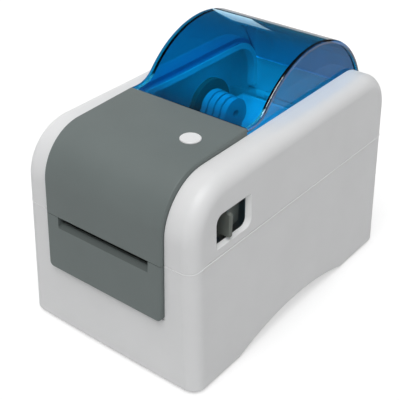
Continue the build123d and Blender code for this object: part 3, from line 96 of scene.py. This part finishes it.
# Colours: what shows is read from the photograph and divided by the light there, the rest is usual. Two
# hold painted light: a painted shade on the slot lip and a painted highlight on the window bevels
WHITE = (0.80, 0.805, 0.81)
GREY = (0.162, 0.191, 0.187)
# Painted shade: the panel's grey made darker on the sloping lip under the label slot
SLOT_LIP_SHADE_GREY = (0.098, 0.116, 0.112)
BUTTON_WHITE = (0.86, 0.87, 0.87)
# Painted highlight: the case's white made lighter for the bevels of the lever windows
BEVEL_HIGHLIGHT_WHITE = (0.92, 0.93, 0.93)
WINDOW_TINT = (0.006, 0.57, 0.98)
WINDOW_STEEP_TINT = (0.001, 0.018, 0.075)
WINDOW_SHADOW_TINT = (0.87, 0.94, 1.0)
RIM_TINT = (0.002, 0.22, 0.52)
RIM_STEEP_TINT = (0.002, 0.07, 0.24)
BLACK_PLASTIC = (0.022, 0.022, 0.024)
PACKAGE_BLACK = (0.030, 0.030, 0.032)
LEVER_GREY = (0.155, 0.172, 0.155)
PALE_PLASTIC = (0.84, 0.89, 0.94)
HUB_GREY = (0.42, 0.46, 0.50)
GUIDE_BROWN = (0.20, 0.10, 0.08)
BLIND_BLACK = (0.13, 0.14, 0.135)
GEAR_WHITE = (0.72, 0.70, 0.62)
STEEL = (0.56, 0.57, 0.58)
ZINC = (0.50, 0.51, 0.52)
ALUMINIUM = (0.70, 0.71, 0.72)
BRONZE = (0.47, 0.29, 0.13)
RUBBER = (0.018, 0.018, 0.019)
BOARD_GREEN = (0.015, 0.13, 0.055)
CERAMIC = (0.22, 0.17, 0.12)

# Surfaces: refraction, sizes of drift and grain, depths of bumps, and swings about a middle value
PLASTIC_IOR = 1.5
WINDOW_IOR = 1.17
WINDOW_COAT_IOR = 1.22
RIM_IOR = 1.12
RIM_COAT_IOR = 2.2
NOISE_LOW = 0.3
NOISE_HIGH = 0.7
NOISE_ROUGHNESS = 0.55
BEVEL_SAMPLES = 6
MOULD_DRIFT = 35 * MILLIMETRE
MOULD_GRAIN = 0.5 * MILLIMETRE
MOULD_SWING = 0.05
FINE_DEPTH = 0.02 * MILLIMETRE
PANEL_DEPTH = 0.03 * MILLIMETRE
CASE_EDGE = 0.5 * MILLIMETRE
PANEL_EDGE = 0.3 * MILLIMETRE
BRUSH_GRAIN = 0.4 * MILLIMETRE
BRUSH_DEPTH = 0.01 * MILLIMETRE
BRUSH_SWING = 0.07
BRUSH_VARIATION = 0.06
RUBBER_DRIFT = 6 * MILLIMETRE
RUBBER_GRAIN = 0.25 * MILLIMETRE
SMUDGE_SIZE = 22 * MILLIMETRE
SMUDGE_ROUGHNESS = (0.015, 0.05)
TRACK_SCALE = 90.0
TRACK_SHADE = 0.75
TRACK_SHINE = 1.7
LACQUER_DRIFT = 3 * MILLIMETRE


# Materials
class Shading:
    """A new material with short ways to add and join its nodes."""

    def __init__(self, name):
        self.material = bpy.data.materials.new(name)
        self.material.use_nodes = True
        self.tree = self.material.node_tree
        self.shader = self.tree.nodes["Principled BSDF"]
        self.output = self.tree.nodes["Material Output"]
        self.place = self.add("ShaderNodeTexCoord").outputs["Object"]

    def add(self, kind, **settings):
        node = self.tree.nodes.new(kind)
        for key, value in settings.items():
            setattr(node, key, value)
        return node

    def join(self, source, target):
        self.tree.links.new(source, target)

    def feed(self, socket, source):
        """Join source to the shader's input called socket."""
        self.join(source, self.shader.inputs[socket])

    def set(self, socket, value):
        """Give the shader's input called socket one value all over."""
        self.shader.inputs[socket].default_value = value

    def noise(self, size, detail=3.0, stretch=(1, 1, 1)):
        """Noise whose blobs are about size across, as a factor from 0 to 1."""
        scale = self.add("ShaderNodeMapping")
        scale.inputs["Scale"].default_value = stretch
        self.join(self.place, scale.inputs["Vector"])
        texture = self.add("ShaderNodeTexNoise")
        texture.inputs["Scale"].default_value = 1 / size
        texture.inputs["Detail"].default_value = detail
        texture.inputs["Roughness"].default_value = NOISE_ROUGHNESS
        self.join(scale.outputs["Vector"], texture.inputs["Vector"])
        return texture.outputs["Fac"]

    def spread(self, factor, low, high):
        """factor moved from its middle range to low .. high."""
        node = self.add("ShaderNodeMapRange")
        node.inputs["From Min"].default_value = NOISE_LOW
        node.inputs["From Max"].default_value = NOISE_HIGH
        node.inputs["To Min"].default_value = low
        node.inputs["To Max"].default_value = high
        self.join(factor, node.inputs["Value"])
        return node.outputs["Result"]

    def tinted(self, colour, factor, amount):
        """colour, from darker to lighter by amount as factor goes through its middle range."""
        mix = self.add("ShaderNodeMix", data_type="RGBA")
        mix.inputs["A"].default_value = (*[c * (1 - amount) for c in colour], 1)
        mix.inputs["B"].default_value = (*[min(1, c * (1 + amount)) for c in colour], 1)
        self.join(self.spread(factor, 0, 1), mix.inputs["Factor"])
        return mix.outputs["Result"]

    def rounding(self, radius):
        """Normals that round sharp edges over by radius, so that they catch the light."""
        node = self.add("ShaderNodeBevel", samples=BEVEL_SAMPLES)
        node.inputs["Radius"].default_value = radius
        return node.outputs["Normal"]

    def bump(self, factor, height, normal=None):
        """Normals that tilt as factor rises and falls by height, on top of normal where it is given."""
        node = self.add("ShaderNodeBump")
        node.inputs["Distance"].default_value = height
        self.join(factor, node.inputs["Height"])
        if normal:
            self.join(normal, node.inputs["Normal"])
        return node.outputs["Normal"]


def moulded(name, colour, roughness, depth=FINE_DEPTH, variation=0.02, sheen=0.5, edge=None):
    """Moulded plastic: a slightly drifting colour, the mould's fine grain and, if asked, eased edges."""
    look = Shading(name)
    cloud = look.noise(MOULD_DRIFT)
    fine = look.noise(MOULD_GRAIN, detail=2.0)
    look.feed("Base Color", look.tinted(colour, cloud, variation))
    look.feed("Roughness", look.spread(fine, roughness - MOULD_SWING, roughness + MOULD_SWING))
    look.feed("Normal", look.bump(fine, depth, look.rounding(edge) if edge else None))
    look.set("IOR", PLASTIC_IOR)
    look.set("Specular IOR Level", sheen)
    return look.material


def metal(name, colour, roughness, brush=(1, 1, 1)):
    """Bare metal with fine marks, which brush draws out along one axis."""
    look = Shading(name)
    marks = look.noise(BRUSH_GRAIN, detail=4.0, stretch=brush)
    look.feed("Base Color", look.tinted(colour, marks, BRUSH_VARIATION))
    look.feed("Roughness", look.spread(marks, roughness - BRUSH_SWING, roughness + BRUSH_SWING))
    look.feed("Normal", look.bump(marks, BRUSH_DEPTH))
    look.set("Metallic", 1.0)
    return look.material


def rubber(name, colour, roughness, variation):
    """Dull ground rubber."""
    look = Shading(name)
    fine = look.noise(RUBBER_GRAIN)
    look.feed("Base Color", look.tinted(colour, look.noise(RUBBER_DRIFT), variation))
    look.feed("Roughness", look.spread(fine, *roughness))
    look.feed("Normal", look.bump(fine, FINE_DEPTH))
    return look.material


def window_plastic(name, colour, steep_colour, ior, coat_ior):
    """Clear blue plastic, which tints what is behind it, more so at a steep angle, and lets light in."""
    look = Shading(name)
    smudge = look.noise(SMUDGE_SIZE, detail=4.0)
    look.feed("Roughness", look.spread(smudge, *SMUDGE_ROUGHNESS))
    tint = look.add("ShaderNodeMix", data_type="RGBA")
    tint.inputs["A"].default_value = (*colour, 1)
    tint.inputs["B"].default_value = (*steep_colour, 1)
    look.join(look.add("ShaderNodeLayerWeight").outputs["Facing"], tint.inputs["Factor"])
    look.feed("Base Color", tint.outputs["Result"])
    look.set("Transmission Weight", 1.0)
    look.set("IOR", ior)
    look.set("Coat Weight", 1.0)
    look.set("Coat IOR", coat_ior)
    clear = look.add("ShaderNodeBsdfTransparent")
    clear.inputs["Color"].default_value = (*WINDOW_SHADOW_TINT, 1)
    mix = look.add("ShaderNodeMixShader")
    look.join(look.add("ShaderNodeLightPath").outputs["Is Shadow Ray"], mix.inputs["Fac"])
    look.join(look.shader.outputs["BSDF"], mix.inputs[1])
    look.join(clear.outputs["BSDF"], mix.inputs[2])
    look.join(mix.outputs["Shader"], look.output.inputs["Surface"])
    return look.material


def circuit_board(name, colour, roughness):
    """Board with faint copper tracks under its lacquer."""
    look = Shading(name)
    tracks = look.add("ShaderNodeTexBrick")
    tracks.inputs["Scale"].default_value = TRACK_SCALE
    tracks.inputs["Color1"].default_value = (*colour, 1)
    tracks.inputs["Color2"].default_value = (*[c * TRACK_SHADE for c in colour], 1)
    tracks.inputs["Mortar"].default_value = (*[c * TRACK_SHINE for c in colour], 1)
    look.join(look.place, tracks.inputs["Vector"])
    look.feed("Base Color", tracks.outputs["Color"])
    look.feed("Roughness", look.spread(look.noise(LACQUER_DRIFT), *roughness))
    return look.material


MATERIALS = {
    "white": moulded("case_white", WHITE, 0.42, edge=CASE_EDGE),
    "bead": moulded("bead_white", WHITE, 0.35),
    # Painted highlight: a lighter copy of the case's white, for the lever windows' bevels
    "bevel_highlight": moulded("bevel_painted_highlight", BEVEL_HIGHLIGHT_WHITE, 0.30, variation=0.01),
    "grey": moulded("panel_grey", GREY, 0.50, depth=PANEL_DEPTH, variation=0.03, edge=PANEL_EDGE),
    # Painted shade: a darker copy of the panel's grey, for the lip under the label slot
    "slot_lip_shade": moulded("slot_lip_painted_shade", SLOT_LIP_SHADE_GREY, 0.40, variation=0.04),
    "blind": moulded("blind_black", BLIND_BLACK, 0.8, variation=0.1, sheen=0.2),
    "button": moulded("button_white", BUTTON_WHITE, 0.35),
    "window": window_plastic("window_blue", WINDOW_TINT, WINDOW_STEEP_TINT, WINDOW_IOR, WINDOW_COAT_IOR),
    "rim": window_plastic("window_rim_blue", RIM_TINT, RIM_STEEP_TINT, RIM_IOR, RIM_COAT_IOR),
    "black": moulded("black_plastic", BLACK_PLASTIC, 0.45, variation=0.1),
    "package": moulded("package_black", PACKAGE_BLACK, 0.5, variation=0.12),
    "lever": moulded("lever_grey", LEVER_GREY, 0.40, variation=0.06),
    "pale": moulded("chassis_plastic", PALE_PLASTIC, 0.5, variation=0.03),
    "hub": moulded("hub_grey", HUB_GREY, 0.35),
    "guide": moulded("guide_brown", GUIDE_BROWN, 0.4, variation=0.08),
    "gear": moulded("gear_plastic", GEAR_WHITE, 0.38, variation=0.04),
    "steel": metal("turned_steel", STEEL, 0.25, brush=(0.1, 1, 1)),
    "zinc": metal("zinc_sheet", ZINC, 0.38),
    "aluminium": metal("extruded_aluminium", ALUMINIUM, 0.3, brush=(0.05, 1, 1)),
    "bronze": metal("sintered_bronze", BRONZE, 0.45),
    "rubber": rubber("black_rubber", RUBBER, (0.7, 0.9), variation=0.2),
    "board": circuit_board("board_green", BOARD_GREEN, (0.25, 0.4)),
    "ceramic": moulded("head_ceramic", CERAMIC, 0.2, variation=0.05),
}

NODES_OF = {
    "white": ["lower_case", "upper_case"],
    "grey": ["lower_front_panel", "upper_front_panel"],
    "button": ["feed_button"],
    "window": ["roll_window"],
    "black": ["power_inlet", "power_switch", "power_rocker", "label_sensor"],
    "package": ["board_parts"],
    "lever": ["latch_lever_left", "latch_lever_right"],
    "pale": ["chassis", "cover_frame"],
    "hub": ["roll_hub_left", "roll_hub_right"],
    "guide": ["media_guide_left", "media_guide_right"],
    "gear": ["platen_gear", "idler_gear", "guide_pinion"],
    "steel": ["catch_pins", "idler_pin", "hinge_pins", "case_screws", "platen_shaft", "motor_shaft",
              "frame_screws", "latch_springs", "tear_bar", "head_springs", "head_pivot", "latch_shaft"],
    "zinc": ["stepping_motor", "usb_socket", "serial_socket", "head_bracket"],
    "aluminium": ["heat_sink"],
    "bronze": ["platen_bushes", "motor_pinion"],
    "rubber": ["rubber_feet", "platen_roller"],
    "board": ["main_board", "button_board"],
    "ceramic": ["printhead"],
}


def dress_nodes():
    """The main finish of each node of the model."""
    for finish, names in NODES_OF.items():
        for name in names:
            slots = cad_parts[name].data.materials
            slots.clear()
            slots.append(MATERIALS[finish])


def dress_faces(node, finish, chosen):
    """Another finish for the faces that chosen picks by middle, mirrored to x > 0, and normal."""
    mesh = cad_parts[node].data
    mesh.materials.append(MATERIALS[finish])
    for face in mesh.polygons:
        x, y, z = face.center / MILLIMETRE
        if chosen(abs(x), y + ROW_SHIFT, z, face.normal):
            face.material_index = 1


def is_slot_lip(x, y, z, normal):
    """True on the sloping lip under the label slot, which gets a darker grey as painted shade."""
    return x < SLOT_HALF and SLOT_LIP_LOW < z < SLOT_LIP_HIGH and normal.z > SLOT_LIP_RISE


def is_window_bevel(x, y, z, normal):
    """True on the bevel along the lower and rear edges of a lever window, which gets a lighter white as a
    painted highlight.
    """
    inside = all(low < value < high for low, value, high in zip(BEVEL_BOX[0], (x, y, z), BEVEL_BOX[1]))
    return inside and BEVEL_LEAN[0] < abs(normal.x) < BEVEL_LEAN[1]


def is_hood_flank(x, y, z, normal):
    """True on the hood's end walls and the rolled rims around them."""
    return x > HOOD_FLANK


# Pieces that only the picture needs
def in_row(x, y, z):
    """A place in the model's millimetres as a place in the row frame."""
    return Vector((x, y - ROW_SHIFT, z)) * MILLIMETRE


def new_piece(name, points, faces, finish, body):
    """A mesh piece that moves with body and has finish as its material."""
    mesh = bpy.data.meshes.new(name)
    mesh.from_pydata(points, [], faces)
    mesh.materials.append(MATERIALS[finish])
    piece = bpy.data.objects.new(name, mesh)
    bpy.context.scene.collection.objects.link(piece)
    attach(piece, body)


def make_blind(side, name):
    """Dark plate behind a lever window, so that light from the roll compartment doesn't show there."""
    count = len(BLIND_OUTLINE)
    points = [in_row(side * x, y, z) for x in BLIND_X for y, z in BLIND_OUTLINE]
    rim = [(i, (i + 1) % count, count + (i + 1) % count, count + i) for i in range(count)]
    faces = [tuple(range(count)), tuple(range(2 * count - 1, count - 1, -1)), *rim]
    new_piece(name, points, faces, "blind", "cover")


def parting_level(y):
    """Height of the parting line, which dips across the front."""
    share = (y - DIP_START_Y) / (DIP_END_Y - DIP_START_Y)
    return PARTING_Z - DIP * (1 - min(1, max(0, share)))


def make_seam_bead(side, name):
    """Fine light bead on the tub's rim, along the parting line from the grey panel to the rear corner."""
    path = [(BEAD_START_X, 0, 0, -1)]
    for middle_y, turns in ((CASE_CORNER_R, BEAD_FRONT_TURNS), (REAR_CORNER_Y, BEAD_REAR_TURNS)):
        for turn in turns:
            out_x, out_y = cos(radians(turn)), sin(radians(turn))
            x = CASE_HALF - CASE_CORNER_R + CASE_CORNER_R * out_x
            path.append((x, middle_y + CASE_CORNER_R * out_y, out_x, out_y))
    points = []
    for x, y, out_x, out_y in path:
        for out, up in BEAD_SECTION:
            points.append(in_row(side * (x + out * out_x), y + out * out_y, parting_level(y) + up))
    size = len(BEAD_SECTION)
    faces = []
    for start in range(0, size * (len(path) - 1), size):
        for i in range(size):
            ahead = (i + 1) % size
            faces.append((start + i, start + ahead, start + size + ahead, start + size + i))
    faces += [tuple(range(size)), tuple(range(len(points) - size, len(points)))]
    new_piece(name, points, faces, "bead", "base")


# Floor, room, lamps and camera
def make_floor():
    """Pale floor that shows white to the camera but keeps the object's shadow."""
    half = FLOOR_SIZE / 2
    mesh = bpy.data.meshes.new("floor")
    corners = [(-half, -half, 0), (half, -half, 0), (half, half, 0), (-half, half, 0)]
    mesh.from_pydata(corners, [], [(0, 1, 2, 3)])
    floor = bpy.data.objects.new("floor", mesh)
    bpy.context.scene.collection.objects.link(floor)
    look = Shading("floor_white")
    look.set("Base Color", (*FLOOR_COLOUR, 1))
    look.set("Roughness", 1.0)
    look.set("Specular IOR Level", 0.0)
    lift = look.add("ShaderNodeEmission")
    level = look.add("ShaderNodeMath", operation="MULTIPLY")
    level.inputs[1].default_value = FLOOR_LIFT
    look.join(look.add("ShaderNodeLightPath").outputs["Is Camera Ray"], level.inputs[0])
    look.join(level.outputs["Value"], lift.inputs["Strength"])
    both = look.add("ShaderNodeAddShader")
    look.join(look.shader.outputs["BSDF"], both.inputs[0])
    look.join(lift.outputs["Emission"], both.inputs[1])
    look.join(both.outputs["Shader"], look.output.inputs["Surface"])
    mesh.materials.append(look.material)


def make_room():
    """World: plain for diffuse light, dim in reflections, white to the camera and through the window."""
    world = bpy.data.worlds.new("room")
    world.use_nodes = True
    bpy.context.scene.world = world
    tree = world.node_tree
    background = tree.nodes["Background"]
    background.inputs["Color"].default_value = (1, 1, 1, 1)
    path = tree.nodes.new("ShaderNodeLightPath")
    seen = tree.nodes.new("ShaderNodeMath")
    seen.operation = "MAXIMUM"
    tree.links.new(path.outputs["Is Camera Ray"], seen.inputs[0])
    tree.links.new(path.outputs["Is Transmission Ray"], seen.inputs[1])
    shine = tree.nodes.new("ShaderNodeMapRange")
    shine.inputs["To Min"].default_value = ROOM_LEVEL
    shine.inputs["To Max"].default_value = ROOM_GLOSS_LEVEL
    tree.links.new(path.outputs["Is Glossy Ray"], shine.inputs["Value"])
    level = tree.nodes.new("ShaderNodeMapRange")
    level.inputs["To Max"].default_value = 1.0
    tree.links.new(seen.outputs["Value"], level.inputs["Value"])
    tree.links.new(shine.outputs["Result"], level.inputs["To Min"])
    tree.links.new(level.outputs["Result"], background.inputs["Strength"])


def make_sun(name, direction, spread, level):
    """Broad soft light from far away, which lights the whole floor evenly."""
    data = bpy.data.lights.new(name, "SUN")
    data.angle = radians(spread)
    data.energy = pi * level
    light = bpy.data.objects.new(name, data)
    light.rotation_mode = "QUATERNION"
    light.rotation_quaternion = Vector(direction).to_track_quat("Z", "Y")
    bpy.context.scene.collection.objects.link(light)


def make_strip():
    """Narrow area light, out of the camera's sight, for the highlight along the hood's top."""
    place, aim = in_row(*STRIP_PLACE), in_row(*STRIP_AIM)
    wide, tall = STRIP_SIZE
    data = bpy.data.lights.new("strip", "AREA")
    data.shape = "RECTANGLE"
    data.size = wide
    data.size_y = tall
    data.energy = STRIP_RADIANCE * pi * wide * tall
    data.color = STRIP_COLOUR
    light = bpy.data.objects.new("strip", data)
    light.location = place
    light.rotation_mode = "QUATERNION"
    light.rotation_quaternion = (place - aim).to_track_quat("Z", "Y")
    light.visible_camera = False
    bpy.context.scene.collection.objects.link(light)


def make_camera():
    """The photograph's camera, aimed by azimuth and drop and then rolled."""
    azimuth, drop, roll = radians(CAMERA_AZIMUTH), radians(CAMERA_DROP), radians(CAMERA_ROLL)
    ahead = Vector((-sin(azimuth) * cos(drop), cos(azimuth) * cos(drop), -sin(drop)))
    across = Vector((cos(azimuth), sin(azimuth), 0))
    above = across.cross(ahead)
    right = across * cos(roll) + above * sin(roll)
    up = above * cos(roll) - across * sin(roll)
    data = bpy.data.cameras.new("camera")
    data.sensor_width = CAMERA_SENSOR
    data.lens = CAMERA_LENS
    data.clip_start = CAMERA_NEAR
    camera = bpy.data.objects.new("camera", data)
    turned = Matrix((right, up, -ahead)).transposed().to_4x4()
    camera.matrix_world = Matrix.Translation(CAMERA_PLACE) @ turned
    bpy.context.scene.collection.objects.link(camera)
    bpy.context.scene.camera = camera


dress_nodes()
dress_faces("lower_front_panel", "slot_lip_shade", is_slot_lip)
dress_faces("upper_case", "bevel_highlight", is_window_bevel)
dress_faces("roll_window", "rim", is_hood_flank)
for side, name in ((1, "right"), (-1, "left")):
    make_blind(side, "window_blind_" + name)
    make_seam_bead(side, "seam_bead_" + name)
make_floor()
make_room()
make_sun("key", KEY_DIRECTION, KEY_SPREAD, KEY_LEVEL)
make_sun("fill", FILL_DIRECTION, FILL_SPREAD, FILL_LEVEL)
make_strip()
make_camera()
bpy.context.scene.view_settings.view_transform = "Standard"
